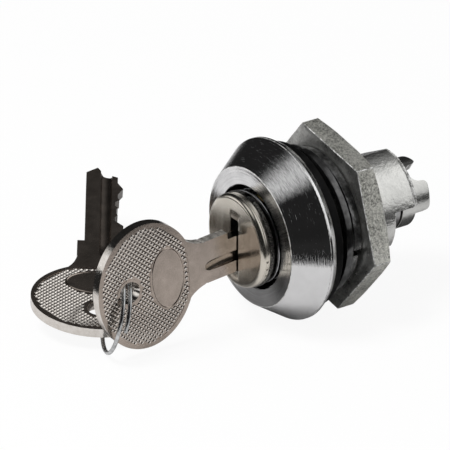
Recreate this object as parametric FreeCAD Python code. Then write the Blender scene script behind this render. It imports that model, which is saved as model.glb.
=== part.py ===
"""Push-in cam lock for a tool trolley, with two keys on a wire ring.

Origin at the centre of the flange's back face. +Y runs along the lock axis
to the tail, +Z is up, the keyhole faces -Y. All sizes are in millimetres.
"""

import FreeCAD
import Part
import math
import os

Vec = FreeCAD.Vector

# Fits and gaps
running_gap = 0.05
loose_gap = 0.1
seat_gap = 0.05

# Threaded barrel with two flats
barrel_radius = 9.5
barrel_length = 16.7
flat_distance = 8.0
flat_angle = -27.0
thread_pitch = 1.0
thread_depth = 0.45
thread_first = 1.2
thread_count = 14
thread_relief = 0.3
bore_radius = 7.0

# Flange with its dished front face
flange_radius = 16.0
flange_depth = 7.15
land_length = 0.9
back_chamfer = 0.6
back_chamfer_inset = 0.4
cone_length = 5.65
lip_radius = 12.3
lip_width = 0.15
dish_rise = 0.12
dish_edge_drop = 0.1
dish_deepest_radius = 10.7
head_pocket_gap = 0.8
head_pocket_floor = -1.4

# Stop sector at the rear of the barrel, and what is cut inside the bore
stop_length = 5.0
stop_bevel_start = 3.8
stop_bevel_end = 4.45
stop_bevel_inset = 0.5
stop_rim_start = 4.55
stop_rim_inset = 0.7
stop_cut_start_angle = 79.0
stop_cut_angle = 180.0
broach_half_width = 1.75
broach_radius = 7.5
broach_end = 12.0
catch_length = 1.8
catch_half_width = 1.7
catch_radius = 8.2

# Gasket, washers and nut on the barrel
gasket_thickness = 2.0
gasket_reach = 5.1
gasket_start = 0.05
thread_clearance = 0.3
washer_radius = 13.25
washer_start = 3.7
washer_thickness = 1.4
spring_washer_radius = 12.4
spring_washer_start = 5.3
spring_washer_thickness = 1.5
spring_washer_offset = 0.5
spring_washer_split_angle = 98.0
spring_washer_gap_angle = 5.0
nut_start = 7.37
nut_thickness = 3.83
nut_across_flats = 28.5
nut_corner_angle = -19.4
nut_chamfer = 0.6
nut_mouth = 0.5

# Travel of the plug
push_travel = 3.1

# Plug core
core_radius = bore_radius - running_gap
core_flange_front = -9.85
core_flange_thickness = 1.25
core_end = barrel_length - loose_gap
tail_radius = 3.2
tail_flat = 2.6
clip_groove_radius = 2.65
clip_groove_width = 0.64
tail_beyond_clip = 0.43
clip_slack = 0.03
tap_radius = 1.65
tap_depth = 8.0
tap_mouth = 0.35
keyway_half_width = 1.1
keyway_low = -5.7
keyway_high = 4.3
keyway_room = 0.2

# Pressed cap over the core's flange
cap_radius = 8.3
cap_wall = 0.4
cap_face = core_flange_front - cap_wall - seat_gap
cap_edge_round = 0.8
cap_skirt_end = -8.6
cap_groove_y = -9.3
cap_groove_depth = 0.1
cap_slot_half_width = 1.15
cap_slot_low = -6.2
cap_slot_high = 4.2
crimp_count = 3
crimp_first_angle = 96.0
crimp_angle_step = 10.5
crimp_first_y = -9.18
crimp_y_step = 0.17
crimp_ball_radius = 0.25
crimp_depth = 0.18

# Thrust ring and return spring behind the cap
thrust_front = -8.5
thrust_thickness = 0.7
thrust_notch_radius = 7.5
thrust_notch_start_angle = -1.0
thrust_notch_angle = 20.0
return_wire_radius = 0.3
return_end_turns = 0.75
return_middle_turns = 2.0
return_end_pitch = 1.1

# Wafers and their springs
wafer_count = 6
wafer_first = -5.08
wafer_pitch = 2.35
wafer_thickness = 1.0
wafer_half_width = 3.2
wafer_half_height = 5.4
wafer_tongue_half_width = 1.6
wafer_tongue_height = 6.6
wafer_window_half_width = 1.3
wafer_window_low = -5.1
wafer_window_high = 3.5
wafer_ear_reach = 5.2
wafer_ear_low = 0.2
wafer_ear_high = 1.4
wafer_slot_gap = 0.1
wafer_wire_radius = 0.11
wafer_coil_radius = 0.5
wafer_coil_turns = 4
wafer_coil_x = 4.45
wafer_coil_low = -3.3
wafer_pocket_radius = 0.75

# Dog that locks the pushed-in plug, and its spring
dog_wall = 0.5
dog_length = 1.6
dog_half_width = 1.5
dog_inner = 3.6
dog_outer = 6.85
dog_pocket_inner = 1.1
dog_bevel = 0.5
dog_wire_radius = 0.15
dog_coil_radius = 0.6
dog_coil_turns = 3

# Stop cam, driver and retaining clip on the tail
cam_gap = 0.15
cam_thickness = 3.45
cam_disc_radius = 5.8
cam_lug_radius = 8.9
cam_lug_start_angle = 171.0
cam_lug_angle = 86.0
driver_gap = 0.4
driver_base = 2.8
driver_height = 5.8
driver_radius = 5.85
driver_cup_radius = 4.2
driver_notch_width = 3.5
driver_notch_angle = 33.0
driver_open_start_angle = 106.0
driver_open_angle = 107.0
driver_chamfer = 0.45
clip_thickness = 0.6
clip_outer_radius = 3.9
clip_gap_width = 1.6
clip_gap_angle = 215.0

# Key, drawn flat: u to the tip, v to the uncut side, shoulder at u = 0
key_thickness = 1.7
blade_low = -3.95
blade_high = 2.7
neck_half_height = 3.95
tip_length = 4.1
bow_centre_u = -16.7
bow_half_length = 9.6
bow_half_height = 11.6
neck_start = -4.8
neck_blend = -8.2
key_hole_u = -20.1
key_hole_radius = 2.0
oval_centre_u = -12.5
oval_half_length = 3.3
oval_half_height = 5.75
oval_rim_width = 0.35
oval_rim_height = 0.1
blade_top_chamfer = 1.6
tip_height = 2.0
tip_undercut = 1.9
tip_undercut_drop = 3.0
tip_step = 2.6
tip_step_rise = 0.75
tip_heel = 2.9
flare_waist = 0.3
cut_first = 6.95
cut_half_flat = 0.55
cut_depths = [1.5, 1.3, 1.5, 1.05, 0.15, 1.1]
cut_peak_rise = 0.3
pointed_tooth_depth = 0.3  # a cut shallower than this is one pointed tooth
groove_middle_v = -0.85
groove_half_width = 0.75
groove_floor_half_width = 0.3
groove_depth = 0.4
groove_runout_u = -0.3
groove_cutter_radius = 20.0
groove_cutter_turn_angle = 30.0
key_shoulder_y = -12.0
key_shoulder_z = -1.4
key_droop_angle = 5.3

# Wire ring through both keys, and how the spare key hangs on it
ring_wire_radius = 0.35
ring_radius = 7.227
ring_strand_offset = 0.575
ring_overlap_low_angle = -40.0
ring_overlap_high_angle = 60.0
ring_normal = Vec(0.369, 0.9013, -0.2271)
ring_to_key = Vec(0.5763, -0.0303, 0.8168)
ring_in_key_v = 0.54
ring_spare_angle = 210.0
spare_yaw_angle = 146.06
spare_pitch_angle = 8.36
spare_roll_angle = 3.19
ring_in_spare_u = 0.43
ring_in_spare_v = -0.9

# Places that follow from the sizes above
gasket_radius = barrel_radius + gasket_reach
thread_clear_radius = barrel_radius + thread_clearance
nut_bore_radius = barrel_radius + loose_gap
head_pocket_radius = cap_radius + head_pocket_gap
core_flange_radius = cap_radius - cap_wall - seat_gap
thrust_outer_radius = cap_radius + loose_gap
return_coil_radius = (core_radius + head_pocket_radius) / 2
blade_length = cut_first + (wafer_count - 1) * wafer_pitch + tip_length
keyway_end = key_shoulder_y + blade_length + keyway_room
dog_start = keyway_end + dog_wall
catch_start = dog_start + push_travel - (catch_length - dog_length) / 2
cam_start = barrel_length + cam_gap
driver_start = cam_start + cam_thickness + driver_gap
clip_groove_start = driver_start + driver_base + clip_slack
tail_end = clip_groove_start + clip_groove_width + tail_beyond_clip

origin = Vec(0, 0, 0)
along = Vec(0, 1, 0)
far = 60.0
cut_margin = 1.0
full_turn = 360.0


def outline(start, steps):
    """Closed face from a start corner and steps: a corner, or (through, end) for an arc."""
    edges = []
    here = start
    for step in steps:
        if isinstance(step, tuple):
            through, end = step
            edges.append(Part.Arc(here, through, end).toShape())
        else:
            end = step
            edges.append(Part.makeLine(here, end))
        here = end
    edges.append(Part.makeLine(here, start))
    return Part.Face(Part.Wire(edges))


def section(radius, y):
    """Point of a turned section."""
    return Vec(0, y, radius)


def turned(face, start=0.0, angle=full_turn):
    """Section turned about the lock axis, from an angle measured from +Z to +X."""
    face.rotate(origin, along, start)
    return face.revolve(origin, along, angle)


def ring(inner, outer, start, end, first=0.0, angle=full_turn):
    """Plain ring, or a part of one, between two radii."""
    face = outline(section(inner, start), [section(outer, start), section(outer, end), section(inner, end)])
    return turned(face, first, angle)


def rod(radius, start, end):
    """Cylinder on the lock axis."""
    return Part.makeCylinder(radius, end - start, Vec(0, start, 0), along)


def block(low_x, high_x, low_y, high_y, low_z, high_z):
    """Box between two corners."""
    return Part.makeBox(high_x - low_x, high_y - low_y, high_z - low_z, Vec(low_x, low_y, low_z))


def turn(shape, angle):
    """The shape turned about the lock axis."""
    shape.rotate(origin, along, angle)
    return shape


def joined(first, others):
    """One solid from overlapping ones."""
    return first.fuse(others).removeSplitter()


def double_flat(radius, flat, start, end):
    """Round bar with two opposite flats that face up and down."""
    return rod(radius, start, end).common(block(-far, far, start, end, -flat, flat))


def placed(shape, place, axis_x, axis_y, axis_z):
    """Copy of a shape drawn at the origin, moved to another frame."""
    frame = FreeCAD.Matrix(
        axis_x.x, axis_y.x, axis_z.x, place.x,
        axis_x.y, axis_y.y, axis_z.y, place.y,
        axis_x.z, axis_y.z, axis_z.z, place.z,
        0, 0, 0, 1,
    )
    copy = shape.copy()
    copy.Placement = FreeCAD.Placement(frame)
    return copy


def smooth_arc(start, corner, end):
    """Arc from start to end that leaves and arrives along the lines through the corner."""
    middle = (start + end) * 0.5
    half = (end - start).Length / 2
    away = corner - middle
    if away.Length < 1e-6:
        return Part.makeLine(start, end)
    bend = math.acos(half / (corner - start).Length)
    through = middle + away.normalize() * half * math.tan(bend / 2)
    return Part.Arc(start, through, end).toShape()


def wire_along(path, quarter_turns, wire_radius, name):
    """Round wire along a wound path; path(share) gives a point and a direction."""
    edges = []
    stations = [path(k / quarter_turns) for k in range(quarter_turns + 1)]
    for (first, leave), (last, arrive) in zip(stations, stations[1:]):
        chord = last - first
        both = leave + arrive
        square = 2 * (leave.dot(arrive) - 1)
        linear = -2 * chord.dot(both)
        reach = chord.dot(chord) / -linear
        if abs(square) > 1e-9:
            root = math.sqrt(linear ** 2 - 4 * square * chord.dot(chord))
            reach = (-linear - root) / (2 * square)
        corner_a = first + leave * reach
        corner_b = last - arrive * reach
        joint = (corner_a + corner_b) * 0.5
        edges.append(smooth_arc(first, corner_a, joint))
        edges.append(smooth_arc(joint, corner_b, last))
    spine = Part.Wire(edges)
    start, heading = stations[0]
    disc = Part.Wire(Part.makeCircle(wire_radius, start, heading))
    solid = spine.makePipeShell([disc], True, False)
    points_per_turn = 24
    points = spine.discretize(points_per_turn * quarter_turns // 4 + 1)
    apart = points_per_turn // 2
    least = far
    for k, point in enumerate(points):
        for other in points[k + apart:]:
            least = min(least, point.distanceToPoint(other) - 2 * wire_radius)
    print("least gap of", name, "to itself:", round(least, 2))
    return solid


def helix_path(centre, axis, side, radius, rises, turns):
    """Path of a coil: rises(share) is the distance travelled along the axis."""
    other = axis.cross(side)
    small = 1e-4

    def point(share):
        angle = 2 * math.pi * turns * share
        around = side * math.cos(angle) + other * math.sin(angle)
        return centre + around * radius + axis * rises(share)

    def path(share):
        heading = point(share + small) - point(share - small)
        return point(share), heading.normalize()

    return path


def make_housing():
    """Flange, threaded barrel with flats and the rear stop sector, in one casting."""
    front = -flange_depth
    edge_y = front + dish_edge_drop
    inner_lip = lip_radius - lip_width
    cone_end = front + cone_length
    face = outline(section(bore_radius, head_pocket_floor), [
        section(head_pocket_radius, head_pocket_floor),
        section(head_pocket_radius, edge_y),
        (section(dish_deepest_radius, front + dish_rise), section(inner_lip, front)),
        section(lip_radius, front),
        section(flange_radius, cone_end),
        section(flange_radius, -back_chamfer),
        section(flange_radius - back_chamfer_inset, 0),
        section(barrel_radius, 0),
        section(barrel_radius, barrel_length),
        section(bore_radius, barrel_length),
    ])
    body = turned(face)
    stop_end = barrel_length + stop_length
    bevel_radius = barrel_radius - stop_bevel_inset
    rim_radius = barrel_radius - stop_rim_inset
    stop_face = outline(section(bore_radius, barrel_length - cut_margin), [
        section(barrel_radius, barrel_length - cut_margin),
        section(barrel_radius, barrel_length + stop_bevel_start),
        section(bevel_radius, barrel_length + stop_bevel_end),
        section(rim_radius, barrel_length + stop_rim_start),
        section(rim_radius, stop_end),
        section(bore_radius, stop_end),
    ])
    stop = turned(stop_face, stop_cut_start_angle + stop_cut_angle, full_turn - stop_cut_angle)
    body = joined(body, [stop])
    grooves = []
    for k in range(thread_count):
        middle = thread_first + k * thread_pitch
        half = thread_pitch / 2 - thread_relief / 2
        outside = barrel_radius + loose_gap
        groove = outline(section(barrel_radius - thread_depth, middle),
                         [section(outside, middle - half), section(outside, middle + half)])
        grooves.append(turned(groove))
    body = body.cut(Part.makeCompound(grooves))
    for angle in (flat_angle, flat_angle + 180):
        beyond = block(-far, far, 0, stop_end + cut_margin, flat_distance, far)
        body = body.cut(turn(beyond, angle))
    broach_front = head_pocket_floor - cut_margin
    broach = block(-broach_half_width, broach_half_width, broach_front, broach_end, -far, far)
    body = body.cut(broach.common(rod(broach_radius, broach_front, broach_end)))
    catch = block(0, far, catch_start, catch_start + catch_length, -catch_half_width, catch_half_width)
    return body.cut(catch.common(rod(catch_radius, catch_start, catch_start + catch_length)))


def make_gasket():
    """Rubber ring against the flange's back face."""
    return ring(thread_clear_radius, gasket_radius, gasket_start, gasket_start + gasket_thickness)


def make_flat_washer():
    """Plain washer in front of the spring washer."""
    return ring(thread_clear_radius, washer_radius, washer_start, washer_start + washer_thickness)


def make_spring_washer():
    """Split washer whose two ends stand apart."""
    share = 1 - spring_washer_gap_angle / full_turn
    middle_radius = (thread_clear_radius + spring_washer_radius) / 2
    half_width = (spring_washer_radius - thread_clear_radius) / 2
    spine = Part.makeHelix(spring_washer_offset / share, spring_washer_offset, middle_radius)
    low = Vec(middle_radius - half_width, 0, 0)
    profile = Part.makePolygon([
        low,
        low + Vec(2 * half_width, 0, 0),
        low + Vec(2 * half_width, 0, spring_washer_thickness),
        low + Vec(0, 0, spring_washer_thickness),
        low,
    ])
    washer = Part.Wire(spine).makePipeShell([profile], True, True)
    washer.rotate(origin, Vec(1, 0, 0), -90)
    washer.translate(Vec(0, spring_washer_start, 0))
    return turn(washer, spring_washer_split_angle - 90 + spring_washer_gap_angle / 2)


def make_nut():
    """Hexagon nut with one chamfered side."""
    nut_end = nut_start + nut_thickness
    corner = nut_across_flats / 2 / math.cos(math.pi / 6)
    corners = []
    for k in range(7):
        angle = math.radians(nut_corner_angle + 60 * k)
        corners.append(Vec(corner * math.sin(angle), nut_start, corner * math.cos(angle)))
    prism = Part.Face(Part.makePolygon(corners)).extrude(along * nut_thickness)
    crown = outline(section(nut_bore_radius, nut_start + nut_mouth), [
        section(nut_bore_radius + nut_mouth, nut_start),
        section(corner + cut_margin, nut_start),
        section(corner + cut_margin, nut_end - nut_chamfer),
        section(corner, nut_end - nut_chamfer),
        section(nut_across_flats / 2, nut_end),
        section(nut_bore_radius + nut_mouth, nut_end),
        section(nut_bore_radius, nut_end - nut_mouth),
    ])
    return prism.common(turned(crown))


def make_return_spring():
    """Coil that pushes the plug forward again."""
    start = thrust_front + thrust_thickness + seat_gap + return_wire_radius
    end = head_pocket_floor - seat_gap - return_wire_radius
    turns = 2 * return_end_turns + return_middle_turns
    end_rise = return_end_turns * return_end_pitch
    end_share = return_end_turns / turns
    middle_rise = end - start - 2 * end_rise

    def rises(share):
        near_front = min(share, end_share)
        near_back = max(share - (1 - end_share), 0)
        between = min(max(share - end_share, 0), 1 - 2 * end_share)
        slope = end_rise / end_share
        return (near_front + near_back) * slope + between * middle_rise / (1 - 2 * end_share)

    path = helix_path(Vec(0, start, 0), along, Vec(0, 0, -1), return_coil_radius, rises, turns)
    return wire_along(path, int(4 * turns), return_wire_radius, "return_spring")


def make_thrust_ring():
    """Ring between the cap and the return spring, with one notch."""
    end = thrust_front + thrust_thickness
    body = ring(core_radius + loose_gap, thrust_outer_radius, thrust_front, end)
    notch = ring(thrust_notch_radius, flange_radius, thrust_front - cut_margin, end + cut_margin,
                 thrust_notch_start_angle, thrust_notch_angle)
    return body.cut(notch)


def make_core():
    """Plug core: front flange, barrel with keyway and wafer slots, tail with two flats."""
    flange_end = core_flange_front + core_flange_thickness
    body = joined(rod(core_flange_radius, core_flange_front, flange_end), [
        rod(core_radius, core_flange_front, core_end),
        double_flat(tail_radius, tail_flat, core_end - cut_margin, tail_end),
    ])
    clip_groove = ring(clip_groove_radius, far, clip_groove_start, clip_groove_start + clip_groove_width)
    tap_face = outline(section(0, tail_end - tap_depth), [
        section(tap_radius, tail_end - tap_depth),
        section(tap_radius, tail_end - tap_mouth),
        section(tap_radius + tap_mouth, tail_end),
        section(tap_radius + tap_mouth, tail_end + cut_margin),
        section(0, tail_end + cut_margin),
    ])
    keyway = block(-keyway_half_width, keyway_half_width, core_flange_front - cut_margin, keyway_end,
                   keyway_low, keyway_high)
    dog_pocket = block(dog_pocket_inner, far, dog_start - loose_gap, dog_start + dog_length + loose_gap,
                       -dog_half_width - loose_gap, dog_half_width + loose_gap)
    cuts = [clip_groove, turned(tap_face), keyway, dog_pocket]
    for k in range(wafer_count):
        middle = wafer_first + k * wafer_pitch
        half = wafer_thickness / 2 + wafer_slot_gap
        front = middle - half
        back = middle + half
        wide = wafer_half_width + wafer_slot_gap
        tall = wafer_half_height + wafer_slot_gap
        tongue = wafer_tongue_half_width + wafer_slot_gap
        ear = wafer_ear_reach + wafer_slot_gap
        low = wafer_coil_low - wafer_slot_gap
        high = wafer_ear_high + 2 * wafer_slot_gap
        pocket = Part.makeCylinder(wafer_pocket_radius, high - low, Vec(wafer_coil_x, middle, low))
        cuts += [
            block(-wide, wide, front, back, -tall, tall),
            block(-tongue, tongue, front, back, -far, far),
            block(0, ear, front, back, low, high),
            pocket,
        ]
    for tool in cuts:
        body = body.cut(tool)
    return body


def make_cap():
    """Thin pressed cap with the key slot, held by crimp dots in its skirt."""
    flat_radius = cap_radius - cap_edge_round
    round_end = cap_face + cap_edge_round
    inner = cap_radius - cap_wall
    bulge = cap_edge_round * math.cos(math.pi / 4)
    through = section(flat_radius + bulge, round_end - bulge)
    face = outline(section(0, cap_face), [
        section(flat_radius, cap_face),
        (through, section(cap_radius, round_end)),
        section(cap_radius, cap_groove_y - cap_groove_depth),
        section(cap_radius - cap_groove_depth, cap_groove_y),
        section(cap_radius, cap_groove_y + cap_groove_depth),
        section(cap_radius, cap_skirt_end),
        section(inner, cap_skirt_end),
        section(inner, cap_face + cap_wall),
        section(0, cap_face + cap_wall),
    ])
    body = turned(face)
    slot = block(-cap_slot_half_width, cap_slot_half_width, cap_face - cut_margin, cap_face + cut_margin,
                 cap_slot_low, cap_slot_high)
    body = body.cut(slot)
    for k in range(crimp_count):
        angle = math.radians(crimp_first_angle + k * crimp_angle_step)
        reach = cap_radius + crimp_ball_radius - crimp_depth
        middle = Vec(reach * math.sin(angle), crimp_first_y + k * crimp_y_step, reach * math.cos(angle))
        body = body.cut(Part.makeSphere(crimp_ball_radius, middle))
    return body


def make_wafer(number):
    """One plate wafer with its window, two locking tongues and the spring ear."""
    middle = wafer_first + number * wafer_pitch
    front = middle - wafer_thickness / 2
    back = middle + wafer_thickness / 2
    plate = block(-wafer_half_width, wafer_half_width, front, back, -wafer_half_height, wafer_half_height)
    tongues = block(-wafer_tongue_half_width, wafer_tongue_half_width, front, back,
                    -wafer_tongue_height, wafer_tongue_height)
    ear = block(0, wafer_ear_reach, front, back, wafer_ear_low, wafer_ear_high)
    window = block(-wafer_window_half_width, wafer_window_half_width, front, back,
                   wafer_window_low, wafer_window_high)
    return joined(plate, [tongues, ear]).cut(window)


def make_wafer_spring(number):
    """Small coil under a wafer's ear."""
    middle = wafer_first + number * wafer_pitch
    low = wafer_coil_low + wafer_wire_radius + seat_gap
    rise = wafer_ear_low - seat_gap - wafer_wire_radius - low
    centre = Vec(wafer_coil_x, middle, low)
    path = helix_path(centre, Vec(0, 0, 1), Vec(1, 0, 0), wafer_coil_radius,
                      lambda share: share * rise, wafer_coil_turns)
    return wire_along(path, 4 * wafer_coil_turns, wafer_wire_radius, "wafer_spring_%d" % (number + 1))


def make_dog():
    """Sliding block with a bevelled rear edge."""
    body = block(dog_inner, dog_outer, dog_start, dog_start + dog_length, -dog_half_width, dog_half_width)
    body = body.common(rod(dog_outer, dog_start, dog_start + dog_length))
    back = dog_start + dog_length
    bevel = Part.Face(Part.makePolygon([
        Vec(dog_outer - dog_bevel, back + loose_gap, -far),
        Vec(dog_outer + loose_gap, back + loose_gap, -far),
        Vec(dog_outer + loose_gap, back - dog_bevel, -far),
        Vec(dog_outer - dog_bevel, back + loose_gap, -far),
    ]))
    return body.cut(bevel.extrude(Vec(0, 0, 2 * far)))


def make_dog_spring():
    """Small coil behind the dog."""
    low = dog_pocket_inner + dog_wire_radius + seat_gap
    rise = dog_inner - seat_gap - dog_wire_radius - low
    centre = Vec(low, dog_start + dog_length / 2, 0)
    path = helix_path(centre, Vec(1, 0, 0), Vec(0, 0, 1), dog_coil_radius,
                      lambda share: share * rise, dog_coil_turns)
    return wire_along(path, 4 * dog_coil_turns, dog_wire_radius, "dog_spring")


def make_stop_cam():
    """Disc on the tail with one wide lug that runs against the stop sector."""
    end = cam_start + cam_thickness
    lug = ring(tail_radius + cut_margin, cam_lug_radius, cam_start, end, cam_lug_start_angle, cam_lug_angle)
    body = joined(rod(cam_disc_radius, cam_start, end), [lug])
    hole = double_flat(tail_radius + running_gap, tail_flat + running_gap,
                       cam_start - cut_margin, end + cut_margin)
    return body.cut(hole)


def make_driver():
    """Cup that drives the latch cam: lugs between round notches, open on one side."""
    base_end = driver_start + driver_base
    end = driver_start + driver_height
    face = outline(section(0, driver_start), [
        section(driver_radius, driver_start),
        section(driver_radius, end - driver_chamfer),
        section(driver_radius - driver_chamfer, end),
        section(driver_cup_radius, end),
        section(driver_cup_radius, base_end),
        section(0, base_end),
    ])
    body = turned(face)
    half = driver_notch_width / 2
    for angle in (driver_notch_angle, driver_notch_angle + 90):
        bottom = Part.makeCylinder(half, 2 * far, Vec(0, base_end + half, -far), Vec(0, 0, 1))
        above = block(-half, half, base_end + half, end + cut_margin, -far, far)
        body = body.cut(turn(bottom.fuse(above), angle))
    body = body.cut(ring(tail_radius, driver_radius + cut_margin, base_end, end + cut_margin,
                         driver_open_start_angle, driver_open_angle))
    hole = double_flat(tail_radius + running_gap, tail_flat + running_gap, driver_start - cut_margin, end)
    return body.cut(hole)


def make_clip():
    """Open spring clip in the tail's groove."""
    start = clip_groove_start + (clip_groove_width - clip_thickness) / 2
    body = ring(clip_groove_radius + running_gap, clip_outer_radius, start, start + clip_thickness)
    half = clip_gap_width / 2
    gap = block(-half, half, start - cut_margin, start + clip_thickness + cut_margin, 0, far)
    return body.cut(turn(gap, clip_gap_angle))


def ellipse_plate(centre_u, half_length, half_height, thickness):
    """Upright oval plate, centred on the key's middle plane."""
    oval = Part.Ellipse(Vec(0, 0, 0), half_height, half_length)
    wire = Part.Wire(oval.toShape())
    wire.rotate(origin, Vec(0, 0, 1), 90)
    wire.translate(Vec(centre_u, 0, -thickness / 2))
    return Part.Face(wire).extrude(Vec(0, 0, thickness))


def bow_height(u):
    """Half height of the bow's oval at one place."""
    share = (u - bow_centre_u) / bow_half_length
    return bow_half_height * math.sqrt(1 - share ** 2)


def make_key():
    """Flat key at the origin: oval bow, neck, grooved blade with its cuts."""
    half = key_thickness / 2
    flare = bow_height(neck_blend)
    waist = (neck_half_height + flare) / 2 - flare_waist
    flare_middle = (neck_start + neck_blend) / 2
    bottom = []
    for k in reversed(range(wafer_count)):
        middle = cut_first + k * wafer_pitch
        floor = blade_low + cut_depths[k]
        if cut_depths[k] < pointed_tooth_depth:
            bottom.append(Vec(middle, floor, -half))
            continue
        bottom.append(Vec(middle + cut_half_flat, floor, -half))
        bottom.append(Vec(middle - cut_half_flat, floor, -half))
        if k > 0 and cut_depths[k - 1] >= pointed_tooth_depth:
            higher = blade_low + min(cut_depths[k - 1], cut_depths[k])
            peak = max(higher - cut_peak_rise, blade_low)
            bottom.append(Vec(middle - wafer_pitch / 2, peak, -half))
    rise_u = cut_first - cut_half_flat - cut_depths[0]
    last_floor = blade_low + cut_depths[-1]
    steps = [
        Vec(0, neck_half_height, -half),
        Vec(0, blade_high, -half),
        Vec(blade_length - blade_top_chamfer, blade_high, -half),
        Vec(blade_length, blade_high - tip_height, -half),
        Vec(blade_length - tip_undercut, blade_high - tip_undercut_drop, -half),
        Vec(blade_length - tip_step, last_floor + tip_step_rise, -half),
        Vec(blade_length - tip_heel, last_floor, -half),
    ] + bottom + [
        Vec(rise_u, blade_low, -half),
        Vec(neck_start, -neck_half_height, -half),
        (Vec(flare_middle, -waist, -half), Vec(neck_blend, -flare, -half)),
        Vec(bow_centre_u, 0, -half),
        Vec(neck_blend, flare, -half),
        (Vec(flare_middle, waist, -half), Vec(neck_start, neck_half_height, -half)),
    ]
    plate = outline(Vec(neck_start / 2, neck_half_height, -half), steps).extrude(Vec(0, 0, key_thickness))
    bow = ellipse_plate(bow_centre_u, bow_half_length, bow_half_height, key_thickness)
    body = joined(plate, [bow])
    rim_thickness = key_thickness + 2 * oval_rim_height
    rim = ellipse_plate(oval_centre_u, oval_half_length, oval_half_height, rim_thickness)
    inside = ellipse_plate(oval_centre_u, oval_half_length - oval_rim_width,
                           oval_half_height - oval_rim_width, 2 * rim_thickness)
    body = joined(body, [rim.cut(inside)])
    hole = Part.makeCylinder(key_hole_radius, far, Vec(key_hole_u, 0, -far / 2))
    body = body.cut(hole)
    for side in (-1, 1):
        body = body.cut(blade_groove(side * half, side))
    return body


def blade_groove(face_n, side):
    """Groove along one face of the blade, with the run-out of a round cutter."""
    floor = face_n - side * groove_depth
    outside = face_n + side * groove_depth
    wider = 2 * groove_half_width - groove_floor_half_width
    corners = [
        Vec(0, groove_middle_v - groove_floor_half_width, floor),
        Vec(0, groove_middle_v - wider, outside),
        Vec(0, groove_middle_v + wider, outside),
        Vec(0, groove_middle_v + groove_floor_half_width, floor),
    ]
    run = Part.Face(Part.makePolygon(corners + corners[:1]))
    run.translate(Vec(groove_runout_u, 0, 0))
    straight = run.extrude(Vec(far, 0, 0))
    hub = Vec(groove_runout_u, groove_middle_v, floor + side * groove_cutter_radius)
    cutter = run.revolve(hub, Vec(0, 1, 0), side * groove_cutter_turn_angle)
    return straight.fuse(cutter)


def key_axes(yaw, pitch, roll):
    """Blade direction, uncut-side direction and face normal of a key."""
    yaw = math.radians(yaw)
    pitch = math.radians(pitch)
    roll = math.radians(roll)
    forward = Vec(math.cos(pitch) * math.cos(yaw), math.cos(pitch) * math.sin(yaw), math.sin(pitch))
    level = Vec(-math.sin(yaw), math.cos(yaw), 0)
    upward = forward.cross(level)
    side = level * math.cos(roll) + upward * math.sin(roll)
    return forward, side, forward.cross(side)


def make_keys_and_ring():
    """Key in the lock, wire ring through its hole, spare key on the ring."""
    flat_key = make_key()
    forward, side, normal = key_axes(90, key_droop_angle, 90)
    shoulder = Vec(0, key_shoulder_y, key_shoulder_z)
    key = placed(flat_key, shoulder, forward, side, normal)

    axis = Vec(ring_normal).normalize()
    out = Vec(ring_to_key)
    out = (out - axis * out.dot(axis)).normalize()
    key_hole = shoulder + forward * key_hole_u
    print("key's hole at", key_hole, "facing", normal)
    crossing = key_hole + side * ring_in_key_v
    centre = crossing - out * ring_radius
    overlap = ring_overlap_high_angle - ring_overlap_low_angle
    total = full_turn + overlap

    def rises(share):
        angle = share * total
        drift = (angle - overlap) / (full_turn - overlap)
        return ring_strand_offset * (2 * min(max(drift, 0), 1) - 1)

    first = math.radians(ring_overlap_low_angle)
    across = axis.cross(out)
    begin = out * math.cos(first) + across * math.sin(first)
    path = helix_path(centre, axis, begin, ring_radius, rises, total / full_turn)
    wire = wire_along(path, int(round(total / 45)), ring_wire_radius, "key_ring")

    share = (ring_spare_angle - ring_overlap_low_angle) / total
    on_wire = path(share)[0]
    forward, side, normal = key_axes(spare_yaw_angle, spare_pitch_angle, spare_roll_angle)
    hole_u = key_hole_u + ring_in_spare_u
    spare_shoulder = on_wire - forward * hole_u - side * ring_in_spare_v
    spare = placed(flat_key, spare_shoulder, forward, side, normal)
    print("spare key's hole at", spare_shoulder + forward * key_hole_u, "facing", normal)
    return key, wire, spare


def build():
    """All pieces by name."""
    key, wire, spare = make_keys_and_ring()
    pieces = {
        "housing_shell": make_housing(),
        "panel_gasket": make_gasket(),
        "flat_washer": make_flat_washer(),
        "lock_washer": make_spring_washer(),
        "hex_nut": make_nut(),
        "return_spring": make_return_spring(),
        "thrust_ring": make_thrust_ring(),
        "plug_core": make_core(),
        "plug_cap": make_cap(),
        "locking_dog": make_dog(),
        "dog_spring": make_dog_spring(),
        "stop_cam": make_stop_cam(),
        "driver": make_driver(),
        "retaining_ring": make_clip(),
        "key": key,
        "key_ring": wire,
        "spare_key": spare,
    }
    for number in range(wafer_count):
        pieces["wafer_%d" % (number + 1)] = make_wafer(number)
        pieces["wafer_spring_%d" % (number + 1)] = make_wafer_spring(number)
    return pieces


os.makedirs("parts", exist_ok=True)
for name, shape in build().items():
    shape.exportStep("parts/%s.step" % name)
    box = shape.BoundBox
    print(name, "solids", len(shape.Solids), "valid", shape.isValid(), "volume", round(shape.Volume, 2),
          "y", round(box.YMin, 2), round(box.YMax, 2), "z", round(box.ZMin, 2), round(box.ZMax, 2))
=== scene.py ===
"""Looks of the tool trolley lock: turned metal pieces, keys with a knurled bow, and a soft white studio.

Pieces are measured in millimetres and degrees. The lock axis is Y, and the key enters from negative y.
"""

import math

import bmesh
import bpy
from mathutils import Matrix, Vector


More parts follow.
